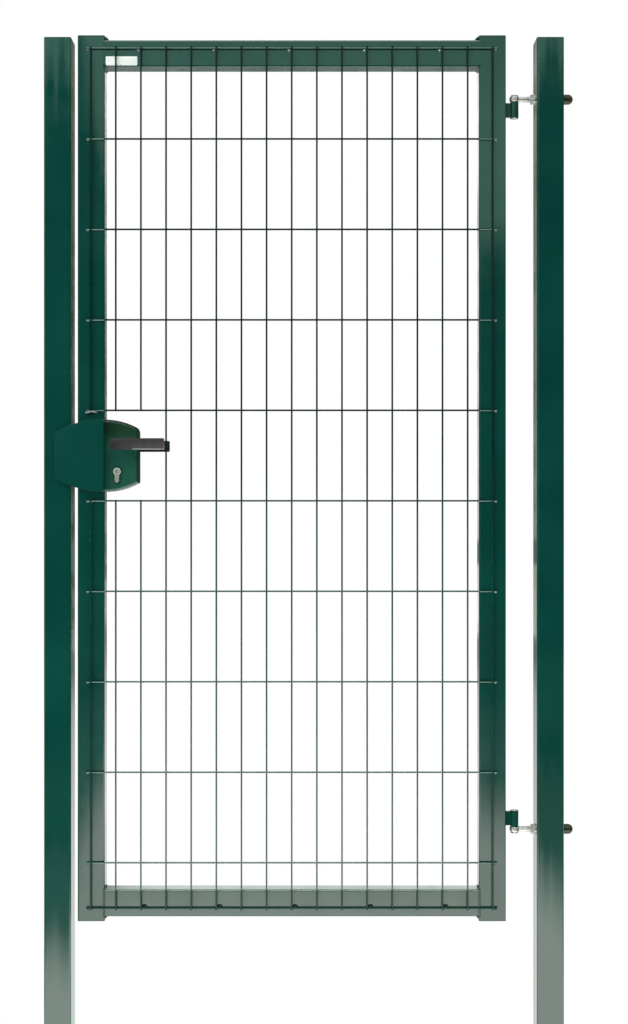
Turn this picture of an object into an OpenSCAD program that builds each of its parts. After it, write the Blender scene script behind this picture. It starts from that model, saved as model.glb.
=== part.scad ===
// Pedestrian gate: one leaf of framed welded mesh, hung between two square posts.
// X runs along the gate, -Y is the front and Z is up.
// The origin is the middle of the hinge post's foot, and all sizes are millimetres.

/* [Posts] */
// Width and depth of each square post
post_size = 60; // [50:1:90]
// Wall thickness of the post tube
post_wall = 2; // [1.5:0.1:4]
// Outer corner radius of the post tube
post_corner = 4.5; // [3:0.5:7]
// Length of each post, foot to top
post_length = 2500; // [2300:10:2900]
// Thickness of the plate that closes each post's foot
foot_plate = 3; // [2:0.5:6]
// Clear width between the posts
clear_opening = 1028; // [900:1:1300]

/* [Leaf frame] */
// Gap between the latch post and the leaf
latch_gap = 13; // [12:1:20]
// Gap between the leaf and the hinge post
hinge_gap = 67; // [64:1:85]
// Height of the leaf's lower end above the posts' feet
leaf_lift = 547; // [450:1:700]
// How far the leaf's stiles rise above the posts
leaf_rise = 7; // [0:1:20]
// Width of each stile
stile_width = 60; // [50:1:70]
// Height of the top and bottom rails
rail_height = 60; // [40:1:80]
// Depth of stiles and rails, front to back
frame_depth = 40; // [36:1:50]
// Wall thickness of the frame tubes
frame_wall = 2; // [1.5:0.1:4]
// Outer corner radius of the frame tubes
frame_corner = 4; // [3:0.5:6]
// How far the rails sit in from the stiles' ends
rail_inset = 10; // [4:1:20]
// Thickness of the end caps' visible plate
cap_plate = 2; // [1:0.5:4]
// Depth of the end caps' skirt inside the tube
cap_skirt = 12; // [8:1:20]

/* [Mesh] */
// Diameter of the mesh wires
wire_d = 4; // [3:0.5:6]
// Nominal distance between upright wires
wire_pitch = 55; // [45:1:70]
// Distance between wire rows
row_pitch = 200; // [190:5:240]
// Distance of the outermost wires from the leaf's edges
mesh_edge = 30; // [22:1:34]
// How far the rows run past the outermost upright wires
row_overhang = 10; // [4:1:14]
// How far the upright wires run past the outermost rows
upright_overhang = 4; // [2:1:10]
// Length of the outermost wire's stubs above and below the lock
cut_stub = 7; // [3:1:12]
// Depth by which crossing wires are welded into each other
weld_depth = 0.6; // [0.3:0.1:1]

/* [Hinges] */
// Diameter of the hinge bolts
bolt_d = 12; // [10:1:14]
// Diameter of the hinge pins
pin_d = 12; // [10:1:12]
// Outer diameter of the hinge barrels
barrel_d = 18.5; // [17:0.5:22]
// Length of the hinge barrels
barrel_length = 35; // [25:1:50]
// Outer diameter of the bolts' eyes
eye_d = 22; // [20:1:26]
// Height of the bolts' eyes
eye_height = 13; // [12.5:0.5:18]
// Distance of the hinge axis from the leaf
axis_offset = 21; // [18:1:25]
// Thickness of the lug between stile and barrel
lug_thickness = 8; // [5:1:12]
// Upper hinge bolt below the leaf's top
upper_hinge_drop = 137; // [90:1:300]
// Lower hinge bolt above the leaf's lower end
lower_hinge_rise = 200; // [120:1:400]
// Width across flats of the hinge nuts
nut_flats = 19; // [17:1:24]
// Thickness of the hinge nuts
nut_height = 8; // [6:1:12]
// Outer diameter of the washers
washer_d = 24; // [22:1:30]
// Thickness of the washers
washer_height = 2.5; // [1.5:0.5:3]
// Diameter of the bolts' domed end caps
dome_d = 22; // [20:1:28]
// Length of the bolts' domed end caps
dome_length = 24; // [22:1:35]

/* [Lock] */
// Mesh bay that holds the lock, counted from the top
lock_bay = 5; // [4:1:6]
// Height of the lock
lock_height = 160; // [150:1:172]
// Radius of the lock case's upper and lower edges
case_arc = 150; // [130:5:300]
// Radius of the shield plate's upper and lower edges
shield_arc = 205; // [190:5:400]
// Rounding of the lock case's upper corner
case_top_corner = 15; // [4:1:20]
// Rounding of the lock case's lower corner and of the shield plate's corners
lock_corner = 4; // [2:1:8]
// Width of the lock case beside the stile
case_width = 75; // [70:1:90]
// Depth of the lock case, front to back
case_depth = 44; // [42:1:50]
// Rounding of the lock case's edges
case_edge = 7; // [4:1:9]
// How far the shield plate reaches over the latch post
shield_overlap = 35; // [20:1:45]
// Thickness of the shield plate
shield_plate_t = 3; // [2:0.5:5]
// Gap between the shield plate and the post's front
shield_gap = 5; // [5:0.5:8]
// Height of the spindle above the lock's middle
spindle_rise = 24; // [20:1:30]
// Distance of the spindle from the stile
backset = 28; // [26:1:36]
// Depth of the key cylinder's middle below the lock's middle
key_drop = 35.5; // [30:0.5:40]
// How far the latch tongue stands out of the stile
tongue_out = 7.5; // [3:0.5:9]

/* [Handle] */
// Length of the levers
lever_length = 118; // [100:1:150]
// Height of the levers
lever_height = 25; // [20:1:30]
// Thickness of the levers
lever_thickness = 8; // [6:0.5:12]
// Distance of the levers' outer faces from the leaf's middle plane
lever_reach = 65; // [58:1:80]
// Diameter of the levers' necks
neck_d = 20; // [16:1:24]
// How far the levers reach past the spindle on the short side
lever_tail = 10; // [10:0.5:16]
// Crown of the levers' outer faces
lever_crown = 1.2; // [0.6:0.1:2]
// Side of the square spindle
spindle_size = 8; // [7:1:10]

/* [Hidden] */
$fn = 64;
running = 0.05; // radial clearance of pins and necks in their bores
seat = 0.3; // gap between faces that slide past each other
snug = 0.1; // gap around pieces fitted into a cut-out
cap_wall = 2; // wall of the end caps' skirts

leaf_right = -post_size / 2 - hinge_gap;
leaf_left = leaf_right - (clear_opening - latch_gap - hinge_gap);
leaf_top = post_length + leaf_rise;
latch_post_x = -clear_opening - post_size;
stile_in_left = leaf_left + stile_width;
stile_in_right = leaf_right - stile_width;
frame_front = -frame_depth / 2;

upright_count = round((leaf_right - leaf_left - 2 * mesh_edge) / wire_pitch);
upright_step = (leaf_right - leaf_left - 2 * mesh_edge) / upright_count;
uprights = [for (i = [0:upright_count]) leaf_left + mesh_edge + i * upright_step];
mesh_top = leaf_top - mesh_edge;
mesh_bottom = leaf_lift + mesh_edge;
row_count = ceil((mesh_top - mesh_bottom) / row_pitch);
rows = [for (i = [0:row_count]) i < row_count ? mesh_top - i * row_pitch : mesh_bottom];
row_y = frame_front - wire_d / 2;
upright_y = row_y - wire_d + weld_depth;

hinge_x = leaf_right + axis_offset;
upper_bolt_z = leaf_top - upper_hinge_drop;
lower_bolt_z = leaf_lift + lower_hinge_rise;
bolt_hole_d = bolt_d + 1;
dome_head = 8; // plastic of the domes beyond the bolts' ends
bolt_end = post_size / 2 + dome_length - dome_head;
pin_head = 2.5; // thickness of the hinge pins' heads
pin_flange = 2.5; // how far those heads reach past the pin
eye_round = 4.5; // rounding of the forged eyes
lug_step = 2; // how far the lug ends short of the barrel's ends
chamfer = 1; // bevel on nuts, pins and bolt ends

lock_z = (rows[lock_bay - 1] + rows[lock_bay]) / 2;
case_right = stile_in_left + case_width;
cut_margin = 12; // uprights closer than this to the case end beside the lock
shield_left = -clear_opening - post_size / 2 - shield_overlap;
arc_steps = 12; // straight pieces in each arc and corner of the lock's outline
corner_steps = 6;
shield_back = -post_size / 2 - shield_gap;
spacer_width = 40; // flat tube behind the shield plate
spacer_height = 90;
spacer_wall = 3;
spindle_x = stile_in_left + backset;
spindle_z = lock_z + spindle_rise;
key_z = lock_z - key_drop;
key_round_d = 17; // profile cylinder: round top, stem and full height
key_stem = 10;
key_height = 33;
key_proud = 5; // how far the cylinder stands out of the case
key_gap = 0.6; // gap between the cylinder and the case
key_plug_d = 13;
key_plug_length = 12;
keyway = [1.4, 9, 8]; // width, height and depth
tongue = [16, 20]; // depth and height of the latch tongue
bolt_bar = [10, 30]; // depth and height of the dead bolt
bolt_tail = 10; // how far tongue and bolt reach into the case
strike_room = [2, 4]; // room round the tongue in the post's slot
face_plate = [24, 130]; // width and height of the plate on the stile's edge
face_plate_t = 2;
lever_edge = 2; // rounding of the levers' long edges
lever_nose = 3; // rounding of the levers' free ends
lever_heel = 8; // rounding of the levers' ends at the spindle
neck_seat = 9; // how deep the necks run in the case

paint = "#0c423a";
zinc = "#b9bcbd";
black = "#3a393b";

// ---- Tubes and caps ----

module rounded_rect(width, depth, radius) {
    square([width, depth - 2 * radius], center = true);
    square([width - 2 * radius, depth], center = true);
    for (sx = [-1, 1], sy = [-1, 1])
        translate([sx * (width / 2 - radius), sy * (depth / 2 - radius)])
            circle(r = radius);
}

module tube(width, depth, radius, wall, length) {
    linear_extrude(length)
        difference() {
            rounded_rect(width, depth, radius);
            rounded_rect(width - 2 * wall, depth - 2 * wall, max(radius - wall, 0.5));
        }
}

// Round bar along +Z with bevelled ends
module bevelled_bar(diameter, length, bevel) {
    rotate_extrude()
        polygon([
            [0, 0], [diameter / 2 - bevel, 0], [diameter / 2, bevel],
            [diameter / 2, length - bevel], [diameter / 2 - bevel, length], [0, length]
        ]);
}

// Plate flush with the tube's outside, with a skirt that reaches down into the tube
module end_cap(width, depth, radius, wall) {
    inside = 2 * (wall + snug);
    linear_extrude(cap_plate)
        rounded_rect(width, depth, radius);
    translate([0, 0, -cap_skirt])
        tube(width - inside, depth - inside, max(radius - wall, 0.5), cap_wall, cap_skirt);
}

// ---- Posts ----

module post() {
    translate([0, 0, foot_plate])
        tube(post_size, post_size, post_corner, post_wall, post_length - foot_plate - cap_plate);
}

module foot_end() {
    color(paint)
        linear_extrude(foot_plate)
            rounded_rect(post_size, post_size, post_corner);
}

module post_cap() {
    color(paint)
        translate([0, 0, post_length - cap_plate])
            end_cap(post_size, post_size, post_corner, post_wall);
}

module hinge_post() {
    color(paint)
        difference() {
            post();
            for (z = [upper_bolt_z, lower_bolt_z])
                translate([0, 0, z])
                    rotate([0, 90, 0])
                        cylinder(d = bolt_hole_d, h = post_size + 2, center = true);
        }
}

module latch_post() {
    color(paint)
        difference() {
            translate([latch_post_x, 0, 0])
                post();
            translate([latch_post_x + post_size / 2, 0, spindle_z])
                cube([4 * post_wall, tongue.x + 2 * strike_room.x, tongue.y + 2 * strike_room.y], center = true);
        }
}

// ---- Hinges: eye bolts on the post, barrels on the leaf ----

// Forged eye on a straight shank that runs through the post
module eye_bolt(z) {
    root = hinge_x + eye_d / 2 - eye_round;
    color(zinc)
        difference() {
            union() {
                translate([hinge_x, 0, z])
                    rotate_extrude()
                        intersection() {
                            rounded_rect(eye_d, eye_height, eye_round);
                            translate([0, -eye_height])
                                square([eye_d, 2 * eye_height]);
                        }
                translate([root, 0, z])
                    rotate([0, 90, 0])
                        bevelled_bar(bolt_d, bolt_end - root, chamfer);
            }
            translate([hinge_x, 0, z])
                cylinder(d = pin_d + 2 * running, h = eye_height + 2, center = true);
        }
}

// Pin through eye and barrel; up is 1 when its head lies on top of the eye
module hinge_pin(z, up) {
    reach = eye_height / 2 + seat + barrel_length;
    color(zinc)
        translate([hinge_x, 0, z])
            mirror([0, 0, up > 0 ? 0 : 1]) {
                translate([0, 0, -reach])
                    bevelled_bar(pin_d, reach + eye_height / 2 + pin_head / 2, chamfer);
                translate([0, 0, eye_height / 2])
                    bevelled_bar(pin_d + 2 * pin_flange, pin_head, chamfer);
            }
}

module hinge_nut(z) {
    color(zinc)
        translate([-post_size / 2 - washer_height - nut_height, 0, z])
            rotate([0, 90, 0])
                difference() {
                    intersection() {
                        cylinder(d = nut_flats / cos(30), h = nut_height, $fn = 6);
                        bevelled_bar(nut_flats / cos(30), nut_height, chamfer);
                    }
                    translate([0, 0, -1])
                        cylinder(d = bolt_d + 2 * running, h = nut_height + 2);
                }
}

module hinge_washer(z) {
    color(zinc)
        translate([-post_size / 2 - washer_height, 0, z])
            rotate([0, 90, 0])
                difference() {
                    cylinder(d = washer_d, h = washer_height);
                    translate([0, 0, -1])
                        cylinder(d = bolt_hole_d, h = washer_height + 2);
                }
}

module bolt_dome(z) {
    color(black)
        translate([post_size / 2, 0, z])
            rotate([0, 90, 0])
                difference() {
                    union() {
                        cylinder(d = dome_d, h = dome_length - dome_d / 2);
                        translate([0, 0, dome_length - dome_d / 2])
                            sphere(d = dome_d);
                    }
                    translate([0, 0, -dome_d])
                        cylinder(d = 2 * dome_d, h = dome_d);
                    translate([0, 0, -1])
                        cylinder(d = bolt_d + 2 * running, h = bolt_end - post_size / 2 + 1 + seat);
                }
}

// Barrel with the lug that is welded to the stile; z is the barrel's lower end
module hinge_barrel(z) {
    color(paint)
        difference() {
            union() {
                translate([hinge_x, 0, z])
                    cylinder(d = barrel_d, h = barrel_length);
                translate([leaf_right, -lug_thickness / 2, z + lug_step])
                    cube([axis_offset, lug_thickness, barrel_length - 2 * lug_step]);
            }
            translate([hinge_x, 0, z - 1])
                cylinder(d = pin_d + 2 * running, h = barrel_length + 2);
        }
}

// ---- Leaf frame ----

module stile(x) {
    translate([x, 0, leaf_lift + cap_plate])
        tube(stile_width, frame_depth, frame_corner, frame_wall, leaf_top - leaf_lift - 2 * cap_plate);
}

module stile_top_cap(x) {
    color(paint)
        translate([x, 0, leaf_top - cap_plate])
            end_cap(stile_width, frame_depth, frame_corner, frame_wall);
}

module stile_bottom_cap(x) {
    color(paint)
        translate([x, 0, leaf_lift + cap_plate])
            mirror([0, 0, 1])
                end_cap(stile_width, frame_depth, frame_corner, frame_wall);
}

module latch_stile() {
    color(paint)
        difference() {
            stile(leaf_left + stile_width / 2);
            lock_bolt_way(tongue, spindle_z);
            lock_bolt_way(bolt_bar, key_z);
        }
}

module hinge_stile() {
    color(paint)
        stile(leaf_right - stile_width / 2);
}

module rail(z) {
    color(paint)
        translate([stile_in_left, 0, z])
            rotate([90, 0, 90])
                tube(frame_depth, rail_height, frame_corner, frame_wall, stile_in_right - stile_in_left);
}

// ---- Mesh ----

// Round wire as an eight-sided bar, with a flat on every side that touches something
module wire(length) {
    rotate([0, 0, 22.5])
        cylinder(d = wire_d / cos(22.5), h = length, $fn = 8);
}

module upright_wire(x, low, high) {
    translate([x, upright_y, low])
        wire(high - low);
}

// Wires beside the lock end at the rows above and below it; the outermost keeps short stubs
module mesh_panel() {
    low = mesh_bottom - upright_overhang;
    high = mesh_top + upright_overhang;
    color(paint) {
        for (z = rows)
            translate([uprights[0] - row_overhang, row_y, z])
                rotate([0, 90, 0])
                    wire(uprights[upright_count] - uprights[0] + 2 * row_overhang);
        for (x = uprights)
            if (x < case_right + cut_margin) {
                stub = x == uprights[0] ? cut_stub : wire_d / 2;
                upright_wire(x, low, rows[lock_bay] + stub);
                upright_wire(x, rows[lock_bay - 1] - stub, high);
            } else {
                upright_wire(x, low, high);
            }
    }
}

// ---- Lock ----

// Upper quarter of the lock's outline, from the stile's inner edge along the arc and round the corner
function lock_quarter(width, arc, corner, inset) =
    let (
        r = max(corner - inset, 1),
        drop = arc - lock_height / 2,
        x = width - inset - r,
        rise = sqrt(pow(arc - inset - r, 2) - pow(x, 2)),
        start = atan2(rise, x)
    )
    concat(
        [for (i = [0:arc_steps]) let (a = 90 - (90 - start) * i / arc_steps)
            [(arc - inset) * cos(a), (arc - inset) * sin(a) - drop]],
        [for (i = [1:corner_steps]) let (a = start - start * i / corner_steps)
            [x + r * cos(a), rise - drop + r * sin(a)]]
    );

// Half of the lock's outline, to the right of the stile's inner edge
module lock_half(width, arc, upper_corner, lower_corner, inset) {
    lower = lock_quarter(width, arc, lower_corner, inset);
    polygon(concat(
        lock_quarter(width, arc, upper_corner, inset),
        [for (i = [len(lower) - 1:-1:0]) [lower[i].x, -lower[i].y]]
    ));
}

// Stands a drawing in X and Z up, with its front face at y
module upright_sheet(y, thickness) {
    translate([0, y + thickness, 0])
        rotate([90, 0, 0])
            linear_extrude(thickness)
                children();
}

// Path of a bolt through the stile, from the case to the outside
module lock_bolt_way(section, z) {
    translate([leaf_left - face_plate_t - 1, -section.x / 2 - snug, z - section.y / 2 - snug])
        cube([
            face_plate_t + 1 + stile_width + bolt_tail + snug,
            section.x + 2 * snug,
            section.y + 2 * snug
        ]);
}

module key_outline(grow) {
    circle(d = key_round_d + 2 * grow);
    translate([0, -(key_height - key_round_d / 2 - key_stem / 2)]) {
        circle(d = key_stem + 2 * grow);
        translate([-key_stem / 2 - grow, 0])
            square([key_stem + 2 * grow, key_height - key_round_d]);
    }
}

module lock_case() {
    layer = 0.01;
    color(paint)
        difference() {
            hull()
                for (a = [0:15:90], side = [-1, 1])
                    upright_sheet(side * (case_depth / 2 - case_edge * (1 - sin(a))) - layer / 2, layer)
                        translate([stile_in_left, lock_z])
                            lock_half(case_width, case_arc, case_top_corner, lock_corner, case_edge * (1 - cos(a)));
            translate([spindle_x, 0, spindle_z])
                rotate([90, 0, 0])
                    cylinder(d = neck_d + 2 * running, h = case_depth + 2, center = true);
            upright_sheet(-case_depth / 2 - 1, case_depth + 2)
                translate([spindle_x, key_z])
                    key_outline(key_gap);
            lock_bolt_way(tongue, spindle_z);
            lock_bolt_way(bolt_bar, key_z);
        }
}

// Outline of the shield plate's side, left of the stile's inner edge
module shield_outline() {
    translate([stile_in_left, lock_z])
        mirror([1, 0])
            lock_half(stile_in_left - shield_left, shield_arc, lock_corner, lock_corner, 0);
}

// Plate over stile, gap and post, folded back to the stile along its right edge
module shield_plate() {
    color(paint) {
        upright_sheet(shield_back - shield_plate_t, shield_plate_t)
            shield_outline();
        upright_sheet(shield_back - shield_plate_t, shield_plate_t + frame_front - shield_back)
            intersection() {
                shield_outline();
                translate([stile_in_left - shield_plate_t, lock_z - lock_height])
                    square([shield_plate_t, 2 * lock_height]);
            }
    }
}

// Flat tube between the stile's front and the shield plate
module shield_spacer() {
    depth = frame_front - shield_back;
    color(paint)
        translate([leaf_left + stile_width / 2, frame_front - depth / 2, lock_z - spacer_height / 2])
            linear_extrude(spacer_height)
                difference() {
                    square([spacer_width, depth], center = true);
                    square([spacer_width - 2 * spacer_wall, depth - 2 * spacer_wall], center = true);
                }
}

module lock_face_plate() {
    color(zinc)
        difference() {
            translate([leaf_left - face_plate_t, -face_plate.x / 2, lock_z - face_plate.y / 2])
                cube([face_plate_t, face_plate.x, face_plate.y]);
            lock_bolt_way(tongue, spindle_z);
            lock_bolt_way(bolt_bar, key_z);
        }
}

// Spring latch with its nose sloped on the side that meets the post first
module latch_tongue() {
    tip = leaf_left - tongue_out;
    slope = tongue_out - face_plate_t;
    color(zinc)
        translate([0, 0, spindle_z - tongue.y / 2])
            linear_extrude(tongue.y)
                polygon([
                    [tip, -tongue.x / 2],
                    [tip, tongue.x / 2 - slope],
                    [tip + slope, tongue.x / 2],
                    [stile_in_left + bolt_tail, tongue.x / 2],
                    [stile_in_left + bolt_tail, -tongue.x / 2]
                ]);
}

module dead_bolt() {
    color(zinc)
        translate([leaf_left - face_plate_t, -bolt_bar.x / 2, key_z - bolt_bar.y / 2])
            cube([stile_width + face_plate_t + bolt_tail, bolt_bar.x, bolt_bar.y]);
}

module key_cylinder() {
    color(zinc)
        difference() {
            upright_sheet(-case_depth / 2 - key_proud, case_depth + 2 * key_proud)
                translate([spindle_x, key_z])
                    key_outline(0);
            for (turn = [0, 180])
                at_key_plug(turn)
                    cylinder(d = key_plug_d + 2 * snug, h = key_plug_length + 1);
        }
}

// Puts a shape drawn along +Z, inner end at z = 0, into the plug's place; turn 180 is the back
module at_key_plug(turn) {
    translate([spindle_x, 0, key_z])
        rotate([0, 0, turn])
            translate([0, key_plug_length - case_depth / 2 - key_proud, 0])
                rotate([90, 0, 0])
                    children();
}

module key_plug(turn) {
    color(zinc)
        at_key_plug(turn)
            difference() {
                cylinder(d = key_plug_d, h = key_plug_length);
                translate([-keyway.x / 2, -keyway.y / 2, key_plug_length - keyway.z])
                    cube([keyway.x, keyway.y, keyway.z + 1]);
            }
}

// ---- Handle ----

// Lever from the front: heel at the spindle, nose at the free end
module lever_outline() {
    left = -lever_tail;
    right = lever_length - lever_tail;
    for (part = [[left, 1, lever_heel], [right, -1, lever_nose]])
        for (side = [-1, 1])
            translate([part[0] + part[1] * part[2], side * (lever_height / 2 - part[2])])
                circle(r = part[2]);
    translate([left + lever_heel, -lever_height / 2])
        square([lever_length - lever_heel - lever_nose, lever_height]);
    translate([left, lever_heel - lever_height / 2])
        square([lever_heel, lever_height - 2 * lever_heel]);
    translate([right - lever_nose, lever_nose - lever_height / 2])
        square([lever_nose, lever_height - 2 * lever_nose]);
}

// Cross-section of the lever, with its crowned outer face to the left
module lever_section() {
    crown_r = (pow(lever_height / 2, 2) + pow(lever_crown, 2)) / (2 * lever_crown);
    intersection() {
        rounded_rect(lever_thickness, lever_height, lever_edge);
        translate([crown_r - lever_thickness / 2, 0])
            circle(r = crown_r, $fn = 180);
    }
}

module lever(back) {
    outer = -lever_reach;
    neck_end = neck_seat - case_depth / 2;
    color(black)
        translate([spindle_x, 0, spindle_z])
            mirror([0, back, 0])
                difference() {
                    union() {
                        intersection() {
                            upright_sheet(outer, lever_thickness)
                                lever_outline();
                            translate([-lever_tail, outer + lever_thickness / 2, 0])
                                rotate([90, 0, 90])
                                    linear_extrude(lever_length)
                                        lever_section();
                        }
                        translate([0, outer + lever_thickness / 2, 0])
                            rotate([-90, 0, 0])
                                cylinder(d = neck_d, h = neck_end - outer - lever_thickness / 2);
                    }
                    translate([0, neck_end, 0])
                        cube([spindle_size + 2 * snug, 4 * neck_seat, spindle_size + 2 * snug], center = true);
                }
}

module spindle() {
    color(zinc)
        translate([spindle_x, 0, spindle_z])
            cube([spindle_size, case_depth + neck_seat, spindle_size], center = true);
}

hinge_post();
latch_post();
foot_end();  // hinge_post_foot_plate
translate([latch_post_x, 0, 0]) foot_end();  // latch_post_foot_plate
post_cap();  // hinge_post_cap
translate([latch_post_x, 0, 0]) post_cap();  // latch_post_cap
eye_bolt(upper_bolt_z);  // upper_eye_bolt
eye_bolt(lower_bolt_z);  // lower_eye_bolt
hinge_pin(upper_bolt_z, 1);  // upper_hinge_pin
hinge_pin(lower_bolt_z, -1);  // lower_hinge_pin
hinge_nut(upper_bolt_z);  // upper_hinge_nut
hinge_nut(lower_bolt_z);  // lower_hinge_nut
hinge_washer(upper_bolt_z);  // upper_hinge_washer
hinge_washer(lower_bolt_z);  // lower_hinge_washer
bolt_dome(upper_bolt_z);  // upper_bolt_dome
bolt_dome(lower_bolt_z);  // lower_bolt_dome
latch_stile();
hinge_stile();
rail(leaf_top - rail_inset - rail_height / 2);  // top_rail
rail(leaf_lift + rail_inset + rail_height / 2);  // bottom_rail
stile_top_cap(leaf_left + stile_width / 2);  // latch_stile_top_cap
stile_bottom_cap(leaf_left + stile_width / 2);  // latch_stile_bottom_cap
stile_top_cap(leaf_right - stile_width / 2);  // hinge_stile_top_cap
stile_bottom_cap(leaf_right - stile_width / 2);  // hinge_stile_bottom_cap
mesh_panel();
hinge_barrel(upper_bolt_z - eye_height / 2 - seat - barrel_length);  // upper_hinge_barrel
hinge_barrel(lower_bolt_z + eye_height / 2 + seat);  // lower_hinge_barrel
lock_case();
shield_plate();
shield_spacer();
lock_face_plate();
latch_tongue();
dead_bolt();
key_cylinder();
key_plug(0);  // front_key_plug
key_plug(180);  // back_key_plug
lever(0);  // front_lever
lever(1);  // back_lever
spindle();
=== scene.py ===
import bpy
import math
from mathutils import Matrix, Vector


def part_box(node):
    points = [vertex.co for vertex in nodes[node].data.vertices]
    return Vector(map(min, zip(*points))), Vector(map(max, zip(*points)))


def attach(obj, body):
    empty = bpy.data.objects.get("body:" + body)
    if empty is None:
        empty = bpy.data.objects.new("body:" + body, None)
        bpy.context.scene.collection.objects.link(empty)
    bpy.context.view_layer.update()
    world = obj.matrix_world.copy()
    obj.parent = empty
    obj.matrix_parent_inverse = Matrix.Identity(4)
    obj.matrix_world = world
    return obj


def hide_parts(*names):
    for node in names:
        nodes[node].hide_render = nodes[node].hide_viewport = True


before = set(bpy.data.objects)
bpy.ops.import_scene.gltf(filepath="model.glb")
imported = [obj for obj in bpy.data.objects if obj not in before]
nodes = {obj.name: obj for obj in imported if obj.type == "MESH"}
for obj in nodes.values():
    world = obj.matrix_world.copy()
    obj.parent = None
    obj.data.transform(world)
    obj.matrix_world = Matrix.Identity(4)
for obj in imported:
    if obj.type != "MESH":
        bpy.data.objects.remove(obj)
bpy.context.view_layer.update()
mm = 0.001


def pickNone():
    bpy.ops.object.select_all(action="DESELECT")


def pickOnly(piece):
    pickNone()
    piece.select_set(True)
    bpy.context.view_layer.objects.active = piece


def newest(name):
    piece = bpy.context.active_object
    piece.name = name
    piece.data.name = name
    return piece


def fixPlace(piece):  # the place goes into the mesh and the object stays at the origin
    pickOnly(piece)
    bpy.ops.object.transform_apply(location=True, rotation=True, scale=True)


def modifyNow(piece, kind, **settings):
    pickOnly(piece)
    modifier = piece.modifiers.new(kind.title(), kind)
    for key, value in settings.items():
        setattr(modifier, key, value)
    bpy.ops.object.modifier_apply(modifier=modifier.name)


def bevel(piece, width, degrees):  # rounds the edges that are sharper than the angle
    modifyNow(piece, "BEVEL", width=width, segments=2, limit_method="ANGLE",
              angle_limit=math.radians(degrees))


def editAll(piece):  # turns edit mode on, with everything selected
    pickOnly(piece)
    bpy.ops.object.mode_set(mode="EDIT")
    bpy.ops.mesh.select_all(action="SELECT")


def leaveEdit():
    bpy.ops.object.mode_set(mode="OBJECT")


def pickEdges(piece, test):  # turns edit mode on, with the edges selected whose two ends pass the test
    editAll(piece)
    bpy.ops.mesh.select_mode(type="EDGE")
    bpy.ops.mesh.select_all(action="DESELECT")
    leaveEdit()
    for edge in piece.data.edges:
        edge.select = test(*(piece.data.vertices[end].co for end in edge.vertices))
    bpy.ops.object.mode_set(mode="EDIT")


def smooth(piece, degrees):
    pickOnly(piece)
    bpy.ops.object.shade_smooth_by_angle(angle=math.radians(degrees))


def copyAt(piece, shift):
    twin = piece.copy()
    twin.data = piece.data.copy()
    bpy.context.collection.objects.link(twin)
    twin.location = Vector(shift)
    fixPlace(twin)
    return twin


def mirrored(piece, planeX):  # a twin on the other side of the upright plane at x = planeX
    twin = piece.copy()
    twin.data = piece.data.copy()
    bpy.context.collection.objects.link(twin)
    twin.scale.x = -1
    twin.location.x = 2 * planeX
    fixPlace(twin)
    outward(twin)
    return twin


def outward(piece):  # turns the faces' fronts outwards
    editAll(piece)
    bpy.ops.mesh.normals_make_consistent(inside=False)
    leaveEdit()


def joinAll(pieces, name):
    pickNone()
    for piece in pieces:
        piece.select_set(True)
    bpy.context.view_layer.objects.active = pieces[0]
    bpy.ops.object.join()
    return newest(name)


def handOver(piece, body, material):
    piece.data.materials.clear()
    piece.data.materials.append(material)
    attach(piece, body)


class Flow:  # a node's output that can be added, multiplied and so on
    def __init__(self, shelf, socket):
        self.shelf = shelf
        self.socket = socket

    def worked(self, operation, first, second=None):
        values = {0: first} if second is None else {0: first, 1: second}
        return self.shelf.node("ShaderNodeMath", {"operation": operation}, values)

    def __add__(self, other): return self.worked("ADD", self, other)
    def __radd__(self, other): return self.worked("ADD", other, self)
    def __sub__(self, other): return self.worked("SUBTRACT", self, other)
    def __rsub__(self, other): return self.worked("SUBTRACT", other, self)
    def __mul__(self, other): return self.worked("MULTIPLY", self, other)
    def __truediv__(self, other): return self.worked("DIVIDE", self, other)
    def __pow__(self, other): return self.worked("POWER", self, other)


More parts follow.
